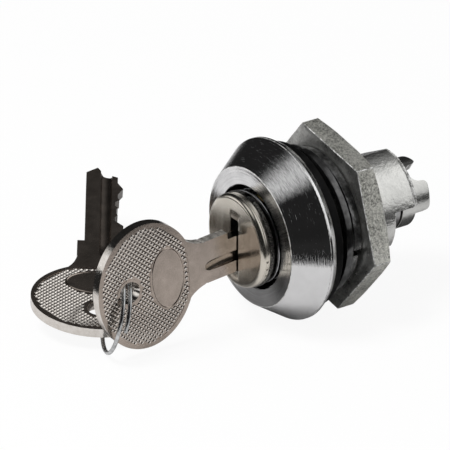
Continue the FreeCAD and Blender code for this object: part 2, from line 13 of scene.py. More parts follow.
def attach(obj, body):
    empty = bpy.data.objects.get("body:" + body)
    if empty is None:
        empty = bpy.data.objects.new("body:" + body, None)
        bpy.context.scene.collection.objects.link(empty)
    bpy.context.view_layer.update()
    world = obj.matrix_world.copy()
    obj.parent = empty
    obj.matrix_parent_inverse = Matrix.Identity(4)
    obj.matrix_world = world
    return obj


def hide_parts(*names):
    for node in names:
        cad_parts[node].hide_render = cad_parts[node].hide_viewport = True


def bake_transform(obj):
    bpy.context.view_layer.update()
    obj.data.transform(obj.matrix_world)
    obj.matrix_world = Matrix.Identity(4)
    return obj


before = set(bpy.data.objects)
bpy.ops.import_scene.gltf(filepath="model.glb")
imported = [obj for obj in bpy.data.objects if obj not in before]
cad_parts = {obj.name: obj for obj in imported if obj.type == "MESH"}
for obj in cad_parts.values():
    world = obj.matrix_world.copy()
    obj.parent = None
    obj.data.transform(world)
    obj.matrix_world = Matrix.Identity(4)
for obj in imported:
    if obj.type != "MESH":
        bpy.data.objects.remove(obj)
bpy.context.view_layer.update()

MM = 0.001
TAU = 2 * math.pi
ALONG_AXIS = Matrix(((1, 0, 0, 0), (0, 0, 1, 0), (0, 1, 0, 0), (0, 0, 0, 1)))


# Meshes

def placed(name, data):
    """New object in the scene."""
    made = bpy.data.objects.new(name, data)
    bpy.context.scene.collection.objects.link(made)
    return made


def worked_mesh(thing):
    """Mesh of an object with its modifiers worked in."""
    bpy.context.view_layer.update()
    return bpy.data.meshes.new_from_object(thing.evaluated_get(bpy.context.evaluated_depsgraph_get()))


def piece(name, mesh, body, paint, stands_for, crease=40.0):
    """A named piece with smooth faces and sharp edges, riding on its body if it has one.

    paint is its finish if the mesh brings none. stands_for lists the solids that it takes the place of.
    """
    for face in mesh.polygons:
        face.use_smooth = True
    mesh.set_sharp_from_angle(angle=math.radians(crease))
    made = placed(name, mesh)
    even = made.modifiers.new("even", "WEIGHTED_NORMAL")
    even.keep_sharp = True
    even.weight = 100
    made.data = worked_mesh(made)
    made.modifiers.clear()
    if not made.data.materials:
        made.data.materials.append(paint)
    if body:
        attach(made, body)
    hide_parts(*stands_for)
    return made


def painted(mesh, paints):
    """Mesh with these finishes added to it."""
    for paint in paints:
        mesh.materials.append(paint)
    return mesh


def brush(mesh, paint_of):
    """Gives faces another of the mesh's finishes. paint_of(face, middle) names it, or None for no change."""
    paints = list(mesh.materials)
    for face in mesh.polygons:
        paint = paint_of(face, face.center / MM)
        if paint is not None:
            face.material_index = paints.index(paint)


def mesh_from(name, points, faces):
    """Mesh from points in millimetres."""
    mesh = bpy.data.meshes.new(name)
    mesh.from_pydata([Vector(p) * MM for p in points], [], faces)
    mesh.validate()
    return mesh


def cleaned(mesh, join=0.0, thin=0.0):
    """Mesh with its faces turned outward. join merges points and thin drops short edges, both in metres."""
    shape = bmesh.new()
    shape.from_mesh(mesh)
    if join:
        bmesh.ops.remove_doubles(shape, verts=shape.verts, dist=join)
        bmesh.ops.dissolve_degenerate(shape, edges=shape.edges, dist=thin)
    bmesh.ops.recalc_face_normals(shape, faces=shape.faces)
    shape.to_mesh(mesh)
    shape.free()
    return mesh


def skin(name, rows, ends="capped"):
    """Mesh over rows of points, each row a closed line. Its two ends are capped, joined or left open."""
    count, size = len(rows), len(rows[0])
    faces = []
    for k in range(count if ends == "joined" else count - 1):
        here, after = k * size, (k + 1) % count * size
        for m in range(size):
            n = (m + 1) % size
            faces.append((here + m, here + n, after + n, after + m))
    if ends == "capped":
        faces += [tuple(reversed(range(size))), tuple((count - 1) * size + m for m in range(size))]
    return mesh_from(name, [point for row in rows for point in row], faces)


def rounded(corners, radius, steps=5, closed=True):
    """Outline with its corners turned into small arcs. radius is one number or one for each corner."""
    least_turn, most_of_side = 0.03, 0.49
    count = len(corners)
    radii = radius if isinstance(radius, (list, tuple)) else [radius] * count
    line = []
    for k, corner in enumerate(corners):
        if not closed and k in (0, count - 1):
            line.append(tuple(corner))
            continue
        here = Vector(corner)
        back = Vector(corners[k - 1]) - here
        ahead = Vector(corners[(k + 1) % count]) - here
        turn = math.pi - back.angle(ahead)
        if turn < least_turn or radii[k] <= 0:
            line.append(tuple(here))
            continue
        reach = min(radii[k] * math.tan(turn / 2), most_of_side * min(back.length, ahead.length))
        start = here + back.normalized() * reach
        end = here + ahead.normalized() * reach
        for step in range(steps + 1):
            share = step / steps
            line.append(tuple(start.lerp(here, share).lerp(here.lerp(end, share), share)))
    return line


def ring_corners(inner, outer, front, back):
    """Corners of a plain ring's outline, as (radius, y)."""
    return [(inner, front), (outer, front), (outer, back), (inner, back)]


def arc_line(first, through, last, steps):
    """Points of a circular arc in a plane, both ends included."""
    a, b, c = Vector(first), Vector(through), Vector(last)
    d = 2 * (a.x * (b.y - c.y) + b.x * (c.y - a.y) + c.x * (a.y - b.y))
    centre_x = (a.dot(a) * (b.y - c.y) + b.dot(b) * (c.y - a.y) + c.dot(c) * (a.y - b.y)) / d
    centre_y = (a.dot(a) * (c.x - b.x) + b.dot(b) * (a.x - c.x) + c.dot(c) * (b.x - a.x)) / d
    start, middle, end = (math.atan2(p.y - centre_y, p.x - centre_x) for p in (a, b, c))
    sweep = (end - start) % TAU
    if (middle - start) % TAU > sweep:
        sweep -= TAU
    radius = (a - Vector((centre_x, centre_y))).length
    angles = [start + sweep * k / steps for k in range(steps + 1)]
    return [(centre_x + radius * math.cos(angle), centre_y + radius * math.sin(angle)) for angle in angles]


def polar(radius, y, angle):
    """Point at an angle about the lock axis, in degrees from +Z to +X."""
    turn = math.radians(angle)
    return radius * math.sin(turn), y, radius * math.cos(turn)


def lathe(name, outline, start=0.0, sweep=360.0, steps=180):
    """Ring turned from a closed outline of (radius, y). A part turn gets end faces."""
    whole = sweep >= 360
    angles = [start + sweep * k / steps for k in range(steps if whole else steps + 1)]
    rows = [[polar(radius, y, angle) for radius, y in outline] for angle in angles]
    return cleaned(skin(name, rows, "joined" if whole else "capped"), 1e-7, 1e-8)


def lathe_by(name, outline_at, angles):
    """Ring whose outline changes with the angle. The angles run through one full turn, both ends included."""
    rows = [[polar(radius, y, angle) for radius, y in outline_at(angle)] for angle in angles]
    return cleaned(skin(name, rows, "open"), 2e-7, 1e-7)


def angles_with(step, *edges):
    """Angles of a full turn, with a pair close together at each edge."""
    clear, hair = 0.2, 0.02
    angles = [k * step for k in range(int(360 / step) + 1)]
    for edge in edges:
        angles = [angle for angle in angles if abs(angle - edge) > clear]
        angles += [edge - hair, edge + hair]
    return sorted(angles)


def within(angle, start, sweep):
    """True where an angle lies in a span."""
    return (angle - start) % 360 < sweep


def prism(name, outline, low, high, place=None):
    """Upright plate of an outline in the XY plane between two heights, then moved by place."""
    size = len(outline)
    points = [(x, y, level) for level in (low, high) for x, y in outline]
    faces = [tuple(reversed(range(size))), tuple(range(size, 2 * size))]
    faces += [(k, (k + 1) % size, size + (k + 1) % size, size + k) for k in range(size)]
    mesh = mesh_from(name, points, faces)
    if place is not None:
        mesh.transform(place)
    return cleaned(mesh)


def turned_about_axis(mesh, angle):
    """Mesh turned about the lock axis, in degrees from +Z to +X."""
    mesh.transform(Matrix.Rotation(math.radians(angle), 4, "Y"))
    return mesh


def tube(name, path, radius, sides):
    """Round wire along points in millimetres, with domed ends."""
    rings = []
    side = None
    for k, here in enumerate(path):
        ahead = Vector(path[min(k + 1, len(path) - 1)]) - Vector(path[max(k - 1, 0)])
        ahead.normalize()
        if side is None:
            side = ahead.orthogonal().normalized()
        side = (side - ahead * side.dot(ahead)).normalized()
        rings.append((Vector(here), ahead, side, radius))
    dome_rings, dome_height, tip = 4, 0.6, 0.02
    first, last = rings[0], rings[-1]
    for step in range(1, dome_rings + 1):
        lift = math.radians(90 * step / dome_rings)
        small = max(radius * math.cos(lift), radius * tip)
        away = radius * math.sin(lift) * dome_height
        rings.insert(0, (first[0] - first[1] * away, first[1], first[2], small))
        rings.append((last[0] + last[1] * away, last[1], last[2], small))
    turns = [TAU * k / sides for k in range(sides)]
    rows = []
    for centre, ahead, side, size in rings:
        other = ahead.cross(side)
        rows.append([centre + side * size * math.cos(turn) + other * size * math.sin(turn) for turn in turns])
    return skin(name, rows)


def carve(mesh, tools, operation="DIFFERENCE"):
    """Mesh after cutting it with other meshes, or keeping what it shares with them."""
    work = placed("work", mesh)
    helpers = [placed("helper", tool) for tool in tools]
    for helper in helpers:
        step = work.modifiers.new("cut", "BOOLEAN")
        step.operation = operation
        step.solver = "EXACT"
        step.object = helper
    result = worked_mesh(work)
    for extra in helpers + [work]:
        bpy.data.objects.remove(extra)
    return result


def softened(mesh, width, segments, angle, paint=-1):
    """Mesh with its sharp edges rounded, in millimetres. paint is the number of the rounding's finish."""
    work = placed("work", mesh)
    step = work.modifiers.new("round", "BEVEL")
    step.width = width * MM
    step.segments = segments
    step.limit_method = "ANGLE"
    step.angle_limit = math.radians(angle)
    step.material = paint
    result = worked_mesh(work)
    bpy.data.objects.remove(work)
    return result


# Shader maths

class Value:
    """A shader number: arithmetic on it adds Math nodes."""

    def __init__(self, finish, socket):
        self.finish = finish
        self.socket = socket

    def maths(self, operation, *values):
        return self.finish.node("Math", {"operation": operation}, dict(enumerate(values)))

    def __add__(self, other):
        return self.maths("ADD", self, other)

    def __radd__(self, other):
        return self.maths("ADD", other, self)

    def __sub__(self, other):
        return self.maths("SUBTRACT", self, other)

    def __rsub__(self, other):
        return self.maths("SUBTRACT", other, self)

    def __mul__(self, other):
        return self.maths("MULTIPLY", self, other)

    def __rmul__(self, other):
        return self.maths("MULTIPLY", other, self)

    def __truediv__(self, other):
        return self.maths("DIVIDE", self, other)

    def __rtruediv__(self, other):
        return self.maths("DIVIDE", other, self)

    def __pow__(self, other):
        return self.maths("POWER", self, other)

    def __rpow__(self, other):
        return self.maths("POWER", other, self)


class Finish:
    """One surface finish, or the world, and the nodes that make it."""

    def __init__(self, name, world=None):
        self.material = world or bpy.data.materials.new(name)
        self.material.use_nodes = True
        self.tree = self.material.node_tree
        self.shader = self.tree.nodes.get("Principled BSDF")

    def feed(self, socket, value):
        if isinstance(value, Value):
            self.tree.links.new(value.socket, socket)
        elif isinstance(value, tuple) and len(value) == 3 and socket.type == "RGBA":
            socket.default_value = (*value, 1)
        else:
            socket.default_value = value

    def node(self, kind, settings=None, sockets=None, output=0):
        made = self.tree.nodes.new("ShaderNode" + kind)
        for key, value in (settings or {}).items():
            if key == "stops":
                ramp = made.color_ramp.elements
                for k, (place, colour) in enumerate(value):
                    stop = ramp[k] if k < 2 else ramp.new(place)
                    stop.position = place
                    stop.color = (*colour, 1) if isinstance(colour, tuple) else (colour, colour, colour, 1)
            else:
                setattr(made, key, value)
        for key, value in (sockets or {}).items():
            self.feed(made.inputs[key], value)
        return Value(self, made.outputs[output])

    def set(self, **sockets):
        """Feeds the shader's own sockets and gives the finished material."""
        for key, value in sockets.items():
            self.feed(self.shader.inputs[key.replace("_", " ")], value)
        return self.material

    def spot(self):
        """Place on the piece, in metres, that stays with it in every pose."""
        return self.node("TexCoord", output=3)

    def split(self, vector):
        """The x, y and z of a vector."""
        return [Value(self, part) for part in self.node("SeparateXYZ", None, {0: vector}).socket.node.outputs]

    def rays(self):
        """One for camera rays, and one for glossy rays."""
        parts = self.node("LightPath").socket.node.outputs
        return Value(self, parts["Is Camera Ray"]), Value(self, parts["Is Glossy Ray"])

    def noise(self, scale, detail=3.0, rough=0.6, place=None, stretch=None):
        """Cloudy grain over the piece."""
        if place is None:
            place = self.spot()
        if stretch:
            place = self.node("Mapping", None, {"Vector": place, "Scale": stretch})
        return self.node("TexNoise", None, {"Vector": place, "Scale": scale, "Detail": detail,
                                            "Roughness": rough})

    def rings(self, scale, drift, detail=3.0):
        """Noise drawn out round the lock axis, as lathe marks are."""
        x, y, z = self.split(self.spot())
        radius = (x * x + z * z) ** 0.5
        place = self.node("CombineXYZ", None, {0: x / radius * drift, 1: z / radius * drift,
                                               2: (radius + y) * scale})
        return self.noise(1.0, detail, place=place)

    def ramp(self, value, *stops):
        return self.node("ValToRGB", {"stops": stops}, {0: value})

    def smooth(self, value, low, high, at_low=0.0, at_high=1.0):
        """Soft step of a value between two limits."""
        return self.node("MapRange", {"interpolation_type": "SMOOTHSTEP"},
                         {0: value, 1: low, 2: high, 3: at_low, 4: at_high})

    def blend(self, share, first, second):
        return self.node("Mix", {"data_type": "RGBA"}, {0: share, 6: first, 7: second}, 2)

    def bump(self, height, distance, strength=1.0):
        """Surface relief; distance is the real depth in millimetres of a height of one."""
        return self.node("Bump", None, {"Height": height, "Distance": distance * MM, "Strength": strength})


# Finishes

def bright_chrome():
    """Mirror plating over turned metal, with fine marks that run round the axis."""
    f = Finish("bright_chrome")
    fine = f.rings(5600.0, 5.0, 2.0)
    broad = f.rings(2600.0, 3.0)
    haze = f.noise(260.0)
    return f.set(Base_Color=f.ramp(haze, (0.3, 0.80), (0.7, 0.88)), Metallic=1.0,
                 Roughness=0.04 + haze * 0.03 + fine * 0.05, Normal=f.bump(fine * 0.7 + broad * 0.3, 0.07))


def face_chrome():
    """The same plating on the flat front face, where the marks are faint."""
    f = Finish("face_chrome")
    marks = f.rings(3600.0, 1.5)
    haze = f.noise(300.0)
    return f.set(Base_Color=f.ramp(haze * 0.4 + marks * 0.6, (0.38, 0.74), (0.62, 0.98)), Metallic=1.0,
                 Roughness=0.05 + haze * 0.03 + marks * 0.12, Normal=f.bump(marks, 0.018))


def satin_zinc(name, relief):
    """Die-cast zinc, plated satin, with a faint cast grain."""
    f = Finish(name)
    grain = f.noise(2600.0, 3.0, 0.65)
    chips = f.noise(1100.0)
    cloud = f.noise(240.0, 3.0, 0.5)
    tone = grain * 0.35 + cloud * 0.65
    skin_height = grain * 0.25 + chips * 0.75
    return f.set(Base_Color=f.ramp(tone, (0.35, (0.66, 0.66, 0.64)), (0.65, (0.84, 0.84, 0.81))),
                 Metallic=1.0, Roughness=0.2 + grain * 0.1, Normal=f.bump(skin_height, relief))


def grainy_zinc():
    """Raw cast zinc with a coarse sandy skin of dark and olive specks."""
    f = Finish("grainy_zinc")
    grain = f.noise(2900.0, 4.0, 0.8)
    speck = f.noise(1500.0, 3.0, 0.7)
    cloud = f.noise(220.0)
    tone = grain * 0.5 + speck * 0.25 + cloud * 0.25
    colour = f.ramp(tone, (0.41, (0.22, 0.22, 0.20)), (0.59, (1.0, 0.995, 0.93)), (0.5, (0.70, 0.695, 0.64)))
    return f.set(Base_Color=colour, Metallic=0.8, Roughness=0.24 + speck * 0.25,
                 Normal=f.bump(grain * 0.6 + speck * 0.4, 0.12))


def faced_zinc():
    """Face of the nut, smoothed by the washer that turned on it."""
    f = Finish("faced_zinc")
    marks = f.rings(1500.0, 4.0)
    rub = f.noise(420.0, 4.0, 0.65)
    fine = f.noise(2600.0, 3.0, 0.7)
    tone = rub * 0.6 + fine * 0.4
    return f.set(Base_Color=f.ramp(tone, (0.38, (0.36, 0.36, 0.35)), (0.62, (0.74, 0.74, 0.71))),
                 Metallic=0.9, Roughness=0.2 + rub * 0.2, Normal=f.bump(marks * 0.3 + fine * 0.7, 0.03))


def polished_nickel():
    """Warm nickel plating on a pressed cap, with faint turned marks and wipe marks."""
    f = Finish("polished_nickel")
    marks = f.rings(7000.0, 4.0)
    wipe = f.noise(700.0, stretch=(1.0, 1.0, 0.12))
    cloud = f.noise(160.0, 2.0, 0.5)
    tone = wipe * 0.4 + cloud * 0.6
    return f.set(Base_Color=f.ramp(tone, (0.35, (0.73, 0.68, 0.59)), (0.65, (0.95, 0.90, 0.81))),
                 Metallic=1.0, Roughness=0.13 + wipe * 0.16,
                 Normal=f.bump(marks * 0.3 + wipe * 0.7, 0.02, 0.9))


def key_nickel():
    """Nickel plating of a key, warm grey with fine wear."""
    f = Finish("key_nickel")
    wear = f.noise(420.0, 4.0)
    fine = f.noise(3800.0, 2.0)
    tone = wear * 0.7 + fine * 0.3
    return f.set(Base_Color=f.ramp(tone, (0.34, (0.37, 0.318, 0.275)), (0.66, (0.56, 0.48, 0.42))),
                 Metallic=1.0, Roughness=0.16 + wear * 0.14,
                 Normal=f.bump(fine * 0.3 + wear * 0.7, 0.03, 0.9))


def black_gloss():
    """Black plating with a deep shine and light rubbed marks."""
    f = Finish("black_gloss")
    marks = f.rings(2500.0, 4.0)
    rub = f.noise(500.0, 3.0, 0.7)
    return f.set(Base_Color=f.ramp(rub, (0.4, (0.03, 0.03, 0.03)), (0.8, (0.16, 0.16, 0.16))),
                 Metallic=0.9, Roughness=0.05 + rub * 0.14, Coat_Weight=0.6, Normal=f.bump(marks, 0.04, 0.9))


def pocket_painted_shade():
    """Inner wall of the bezel, coloured near-black as painted shade deep in the gap round the cap, with faint
    scored rings.
    """
    f = Finish("pocket_painted_shade")
    marks = f.rings(3000.0, 5.0)
    return f.set(Base_Color=f.ramp(marks, (0.4, (0.004, 0.004, 0.004)), (0.75, (0.05, 0.05, 0.048))),
                 Metallic=0.8, Roughness=0.3 + marks * 0.3, Normal=f.bump(marks, 0.05, 0.8))


def black_rubber():
    """Moulded rubber with a fine matte skin."""
    f = Finish("black_rubber")
    grain = f.noise(3000.0)
    dust = f.noise(300.0)
    return f.set(Base_Color=f.ramp(dust, (0.4, (0.003, 0.003, 0.003)), (0.8, (0.012, 0.012, 0.012))),
                 Roughness=0.45 + grain * 0.2, Specular_IOR_Level=0.08, Normal=f.bump(grain, 0.01, 0.6))


def bare_steel():
    """Machined steel with tool marks round the axis."""
    f = Finish("bare_steel")
    marks = f.rings(3500.0, 5.0)
    stain = f.noise(380.0)
    return f.set(Base_Color=f.ramp(stain, (0.35, (0.40, 0.40, 0.40)), (0.7, (0.60, 0.60, 0.59))),
                 Metallic=1.0, Roughness=0.26 + stain * 0.14, Normal=f.bump(marks, 0.006, 0.7))


def stamped_brass():
    """Brass sheet with drawn lines and dull patches."""
    f = Finish("stamped_brass")
    lines = f.noise(900.0, stretch=(8.0, 8.0, 1.0))
    patch = f.noise(260.0)
    return f.set(Base_Color=f.ramp(patch, (0.35, (0.50, 0.35, 0.13)), (0.7, (0.78, 0.60, 0.28))),
                 Metallic=1.0, Roughness=0.25 + patch * 0.15, Normal=f.bump(lines, 0.004, 0.6))


def rubbed(name, grain, dark, light, metal, dull, relief, strength=1.0):
    """Finish of one grain, which is its scale, detail and roughness.

    dark and light are a height of the grain and its colour. dull is how rough the surface is, and what
    the grain adds to it.
    """
    f = Finish(name)
    rub = f.noise(*grain)
    return f.set(Base_Color=f.ramp(rub, dark, light), Metallic=metal, Roughness=dull[0] + rub * dull[1],
                 Normal=f.bump(rub, relief, strength))


def drawn_wire(name, dark, light):
    """Drawn steel wire with dull patches."""
    return rubbed(name, (700.0, 3.0, 0.7), (0.35, dark), (0.65, light), 1.0, (0.16, 0.12), 0.006, 0.5)


CHROME = bright_chrome()
FACE = face_chrome()
ZINC = satin_zinc("satin_zinc", 0.12)
SMOOTH = satin_zinc("smooth_zinc", 0.045)
SAND = grainy_zinc()
FACED = faced_zinc()
# Edges of the cast zinc and the bezel, rubbed, with a pale colour that is a painted highlight along them.
WORN_HIGHLIGHT = rubbed("worn_zinc_highlight", (1300.0, 4.0, 0.7), (0.42, (0.22, 0.22, 0.21)), (0.56, (0.92, 0.92, 0.90)),
              0.2, (0.2, 0.3), 0.04)
# Cast ring with a pitted skin.
CAST = rubbed("rough_cast", (4200.0, 3.0, 0.7), (0.42, (0.03, 0.029, 0.027)), (0.64, (0.34, 0.33, 0.31)),
              0.9, (0.35, 0.2), 0.03, 0.9)
NICKEL = polished_nickel()
KEY = key_nickel()
# The key's plating on its edges, rubbed smooth, and coloured lighter than the face as a painted highlight.
EDGE = rubbed("edge_nickel", (900.0, 4.0, 0.7), (0.32, (0.74, 0.69, 0.63)), (0.68, (0.94, 0.90, 0.85)),
              1.0, (0.04, 0.14), 0.03)
# The same plating on the knurl, coloured much lighter than the key's face: painted highlight on the flanks.
KNURL = rubbed("knurl_nickel", (600.0, 3.0, 0.6), (0.32, (0.86, 0.80, 0.74)), (0.68, (1.0, 0.95, 0.89)),
               1.0, (0.1, 0.12), 0.01)
# Rough sheared edge of the neck, plated.
SHEAR = rubbed("sheared_nickel", (1400.0, 4.0, 0.75), (0.38, (0.30, 0.285, 0.26)),
               (0.62, (0.92, 0.89, 0.84)), 0.75, (0.25, 0.25), 0.08)
GLOSS = black_gloss()
POCKET = pocket_painted_shade()
# Oiled dark spring steel.
DARK = rubbed("black_steel", (900.0, 4.0, 0.7), (0.4, (0.10, 0.10, 0.10)), (0.75, (0.42, 0.42, 0.42)),
              0.95, (0.14, 0.2), 0.04, 0.9)
RUBBER = black_rubber()
STEEL = bare_steel()
BRASS = stamped_brass()
SPRING = drawn_wire("spring_wire", (0.30, 0.30, 0.31), (0.55, 0.55, 0.56))
WIRE = drawn_wire("ring_wire", (0.42, 0.43, 0.43), (0.74, 0.75, 0.75))
# Walls of the blade, cut after plating, coloured dark as painted shade on faces turned from the light.
CUT = drawn_wire("cut_edge", (0.08, 0.076, 0.072), (0.22, 0.205, 0.19))


# Housing, gasket, washers and nut. BORE and BARREL are the radii of the bore and of the thread's crests.

BORE = 7.0
BARREL = 9.5


def make_bezel():
    """Dished and coned flange."""
    wall, floor, ridge, front, flange = 9.1, -1.4, 12.15, -7.13, 16.0
    lip = (9.25, -7.06)
    pocket = rounded([(BORE, floor), (wall, floor), (wall, -6.92), lip], [0, 0.1, 0.05, 0], 3, False)
    dish = arc_line(lip, (10.7, -7.03), (ridge, front), 16)
    rim = rounded([(ridge, front), (12.3, front), (flange, -1.5), (flange, -1.08), (15.35, 0.0), (BORE, 0.0)],
                  [0, 0.22, 0.16, 0.06, 0.1, 0], 5, False)
    mesh = painted(lathe("bezel", pocket[:-1] + dish[:-1] + rim, steps=288), (CHROME, POCKET, FACE, WORN_HIGHLIGHT))

    def paint_of(face, middle):
        reach = math.hypot(middle.x, middle.z)
        on_ridge = 12.1 < reach < 12.5 and middle.y < -6.85
        on_rim = reach > 15.88 and middle.y < -1.41
        # The pocket's wall and floor take the near-black pocket finish: painted shade in the gap.
        in_pocket = reach < 9.2 and middle.y > -6.95
        # The ridge and rim edges take the pale edge finish: a painted highlight line on the chrome.
        if (on_ridge or on_rim) and -0.97 < face.normal.y < -0.1:
            return WORN_HIGHLIGHT
        if in_pocket:
            return POCKET
        return FACE if face.normal.y < -0.9 else None

    brush(mesh, paint_of)
    made = piece("bezel", mesh, "housing", CHROME, ["housing_shell"])


def thread_line(angle, start, end, pitch, depth):
    """Outer line of the thread at one angle: a helical groove that fades at both ends."""
    groove = ((0.0, 0.0), (0.12, 0.0), (0.5, 1.0), (0.56, 1.0), (0.94, 0.0))
    fade_length = 0.8
    line = []
    for k in range(-1, int((end - start) / pitch) + 2):
        for share, deep in groove:
            y = start + (k + share + angle / 360) * pitch
            y = min(max(y, start), end)
            fade = min(1, (y - start) / fade_length, (end - y) / fade_length)
            line.append((BARREL - depth * deep * max(fade, 0), y))
    return line


def make_barrel():
    """Threaded barrel with two flats and the rear stop sector."""
    short_from, short_to = 79, 259
    short_end = ((0.0, 16.35), (0.06, 16.55), (0.2, 16.65), (0.35, 16.69), (0.5, 16.7), (0.9, 16.7),
                 (1.2, 16.7))
    sector_end = ((0.0, 20.42), (0.04, 20.52), (0.5, 21.12), (0.62, 21.18), (0.7, 21.3), (0.7, 21.6),
                  (0.8, 21.7))
    flat, clear = 8.0, 20

    def outline_at(angle):
        end = short_end if within(angle, short_from, short_to - short_from) else sector_end
        line = [(BORE, -1.0), (BARREL, -1.0), (BARREL, 0.3)]
        line += thread_line(angle, 0.6, 14.3, 1.0, 0.5)
        line += [(BARREL, 14.6)] + [(BARREL - inset, y) for inset, y in end]
        return line + [(BORE + 0.25, end[-1][1]), (BORE, end[-1][1] - 0.25)]

    def paint_of(face, middle):
        # The stop sector's edge takes the pale edge finish: a painted highlight line.
        on_sector_edge = 20.5 < middle.y < 21.65 and math.hypot(middle.x, middle.z) > 8.0
        return WORN_HIGHLIGHT if on_sector_edge else None

    mesh = lathe_by("barrel", outline_at, angles_with(2, short_from, short_to))
    block = [(-clear, 0), (clear, 0), (clear, 25), (-clear, 25)]
    mesh = carve(mesh, [turned_about_axis(prism("flat", block, flat, clear), angle) for angle in (-27, 153)])
    mesh.materials.clear()
    brush(painted(mesh, (ZINC, WORN_HIGHLIGHT)), paint_of)
    made = piece("barrel", mesh, "housing", ZINC, ["housing_shell"], 28)


def make_gasket():
    """Rubber ring behind the flange."""
    corners = ring_corners(inner=9.8, outer=14.6, front=0.05, back=2.05)
    outline = rounded(corners, [0.1, 0.35, 0.35, 0.1])
    made = piece("gasket", lathe("gasket", outline, steps=144), "housing", RUBBER, ["panel_gasket"])


def make_flat_washer():
    """Plain washer."""
    outline = rounded(ring_corners(inner=9.8, outer=13.25, front=3.7, back=5.1), 0.22)
    flat = piece("washer", lathe("washer", outline), "housing", GLOSS, ["flat_washer"])


def make_spring_washer():
    """Split washer that climbs a little from one end to the other."""
    outline = rounded(ring_corners(inner=9.8, outer=12.4, front=5.3, back=6.8), 0.12, 4)
    split_at, gap, climb, steps = 98.0, 5.0, 0.5, 150
    rows = []
    for k in range(steps + 1):
        share = k / steps
        angle = split_at + gap / 2 + (360 - gap) * share
        rows.append([polar(radius, y + climb * share, angle) for radius, y in outline])
    split = piece("spring_washer", skin("spring_washer", rows), "housing", DARK, ["lock_washer"])


def make_nut():
    """Hexagon nut with a grainy skin, and slightly worn edges coloured pale as a painted highlight."""
    across_flats, front, back, first_corner = 28.5, 7.37, 11.2, -19.4
    paints = (SAND, WORN_HIGHLIGHT, FACED)
    reach = across_flats / 2 / math.cos(math.pi / 6)
    turns = [math.radians(first_corner + 60 * k) for k in range(6)]
    corners = [(reach * math.sin(turn), reach * math.cos(turn)) for turn in turns]
    hexagon = painted(prism("nut", corners, front, back, ALONG_AXIS), paints)
    # The rounded edges take the pale edge finish: a painted highlight.
    hexagon = softened(hexagon, 0.13, 2, 25, paints.index(WORN_HIGHLIGHT))
    crown = [(9.6, front + 0.5), (10.1, front), (17.5, front), (17.5, 10.6), (16.454, 10.6), (14.25, back),
             (10.1, back), (9.6, back - 0.5)]
    mesh = carve(hexagon, [lathe("crown", crown, steps=144)], "INTERSECT")
    brush(mesh, lambda face, middle: FACED if face.normal.y < -0.99 else None)
    made = piece("nut", mesh, "housing", SAND, ["hex_nut"], 30)


# Head of the plug

def crimp_dot(angle, y):
    """Cutter for one small round dent in the cap's side."""
    cap_side, outside, radius = 8.3, 0.07, 0.26
    shape = bmesh.new()
    bmesh.ops.create_uvsphere(shape, u_segments=16, v_segments=10, radius=radius * MM)
    dot = bpy.data.meshes.new("dot")
    shape.to_mesh(dot)
    shape.free()
    dot.transform(Matrix.Translation(Vector(polar(cap_side + outside, y, angle)) * MM))
    return dot


def make_cap():
    """Pressed cap with rolled edge, groove line, key slot and crimp dots."""
    front = [(0.0, -10.3), (2.0, -10.3), (4.0, -10.295), (6.0, -10.285)]
    edge = arc_line((7.4, -10.27), (8.03, -10.04), (8.3, -9.5), 14)
    side = rounded([(8.3, -9.38), (8.2, -9.31), (8.3, -9.24), (8.3, -8.6), (7.9, -8.6), (7.9, -9.9)],
                   [0.02, 0.02, 0.02, 0.1, 0.02, 0.2], 3, False)
    mesh = lathe("cap", front + edge + side + [(4.0, -9.9), (0.0, -9.9)], steps=216)
    slot = rounded([(-1.15, -6.2), (1.15, -6.2), (1.15, 4.2), (-1.15, 4.2)], 0.25, 3)
    dots = [crimp_dot(angle, y) for angle, y in ((96, -9.18), (106.5, -9.01), (117, -8.84))]
    mesh = softened(carve(mesh, [prism("slot", slot, -11.5, -9.4, ALONG_AXIS)] + dots), 0.16, 2, 60)
    made = piece("cap", mesh, "plug", NICKEL, ["plug_cap"])


def make_thrust_ring():
    """Rough ring behind the cap, lower at its notch."""
    inner, front, back = 7.05, -8.5, -7.8
    notch_from, notch_to = -1, 19

    def outline_at(angle):
        outer = 7.5 if within(angle, notch_from, notch_to - notch_from) else 8.4
        return rounded(ring_corners(inner, outer, front, back), [0.05, 0.12, 0.12, 0.05], 3)

    mesh = lathe_by("thrust_ring", outline_at, angles_with(3, notch_from + 360, notch_to))
    made = piece("slide_ring", mesh, "carrier", CAST, ["thrust_ring"])


def make_coil():
    """Return spring behind the thrust ring, built at one length; the real spring shortens as the head is
    pushed in.
    """
    front, back, around, wire = -7.45, -1.75, 8.025, 0.3
    end_turns, middle_turns, end_rise, steps = 0.75, 2.0, 0.825, 168
    turns = 2 * end_turns + middle_turns
    path = []
    for k in range(steps + 1):
        turned = turns * k / steps
        rise = (min(turned, end_turns) + max(turned - turns + end_turns, 0)) * end_rise / end_turns
        between = min(max(turned - end_turns, 0), middle_turns) / middle_turns
        rise += between * (back - front - 2 * end_rise)
        angle = TAU * turned
        path.append((-around * math.sin(angle), front + rise, -around * math.cos(angle)))
    made = piece("coil", tube("coil", path, wire, 12), None, SPRING, ["return_spring"], 60)
    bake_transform(made)


# Tail

def make_stop_cam():
    """Disc with the wide stop lug."""
    inner, front, back = 3.25, 16.85, 20.3
    lug_from, lug_to = 171, 257

    def outline_at(angle):
        outer = 8.9 if within(angle, lug_from, lug_to - lug_from) else 5.8
        return rounded(ring_corners(inner, outer, front, back), [0.02, 0.2, 0.12, 0.02], 4)

    mesh = lathe_by("stop_cam", outline_at, angles_with(3, lug_from, lug_to))
    made = piece("cam", mesh, "plug", STEEL, ["stop_cam"])


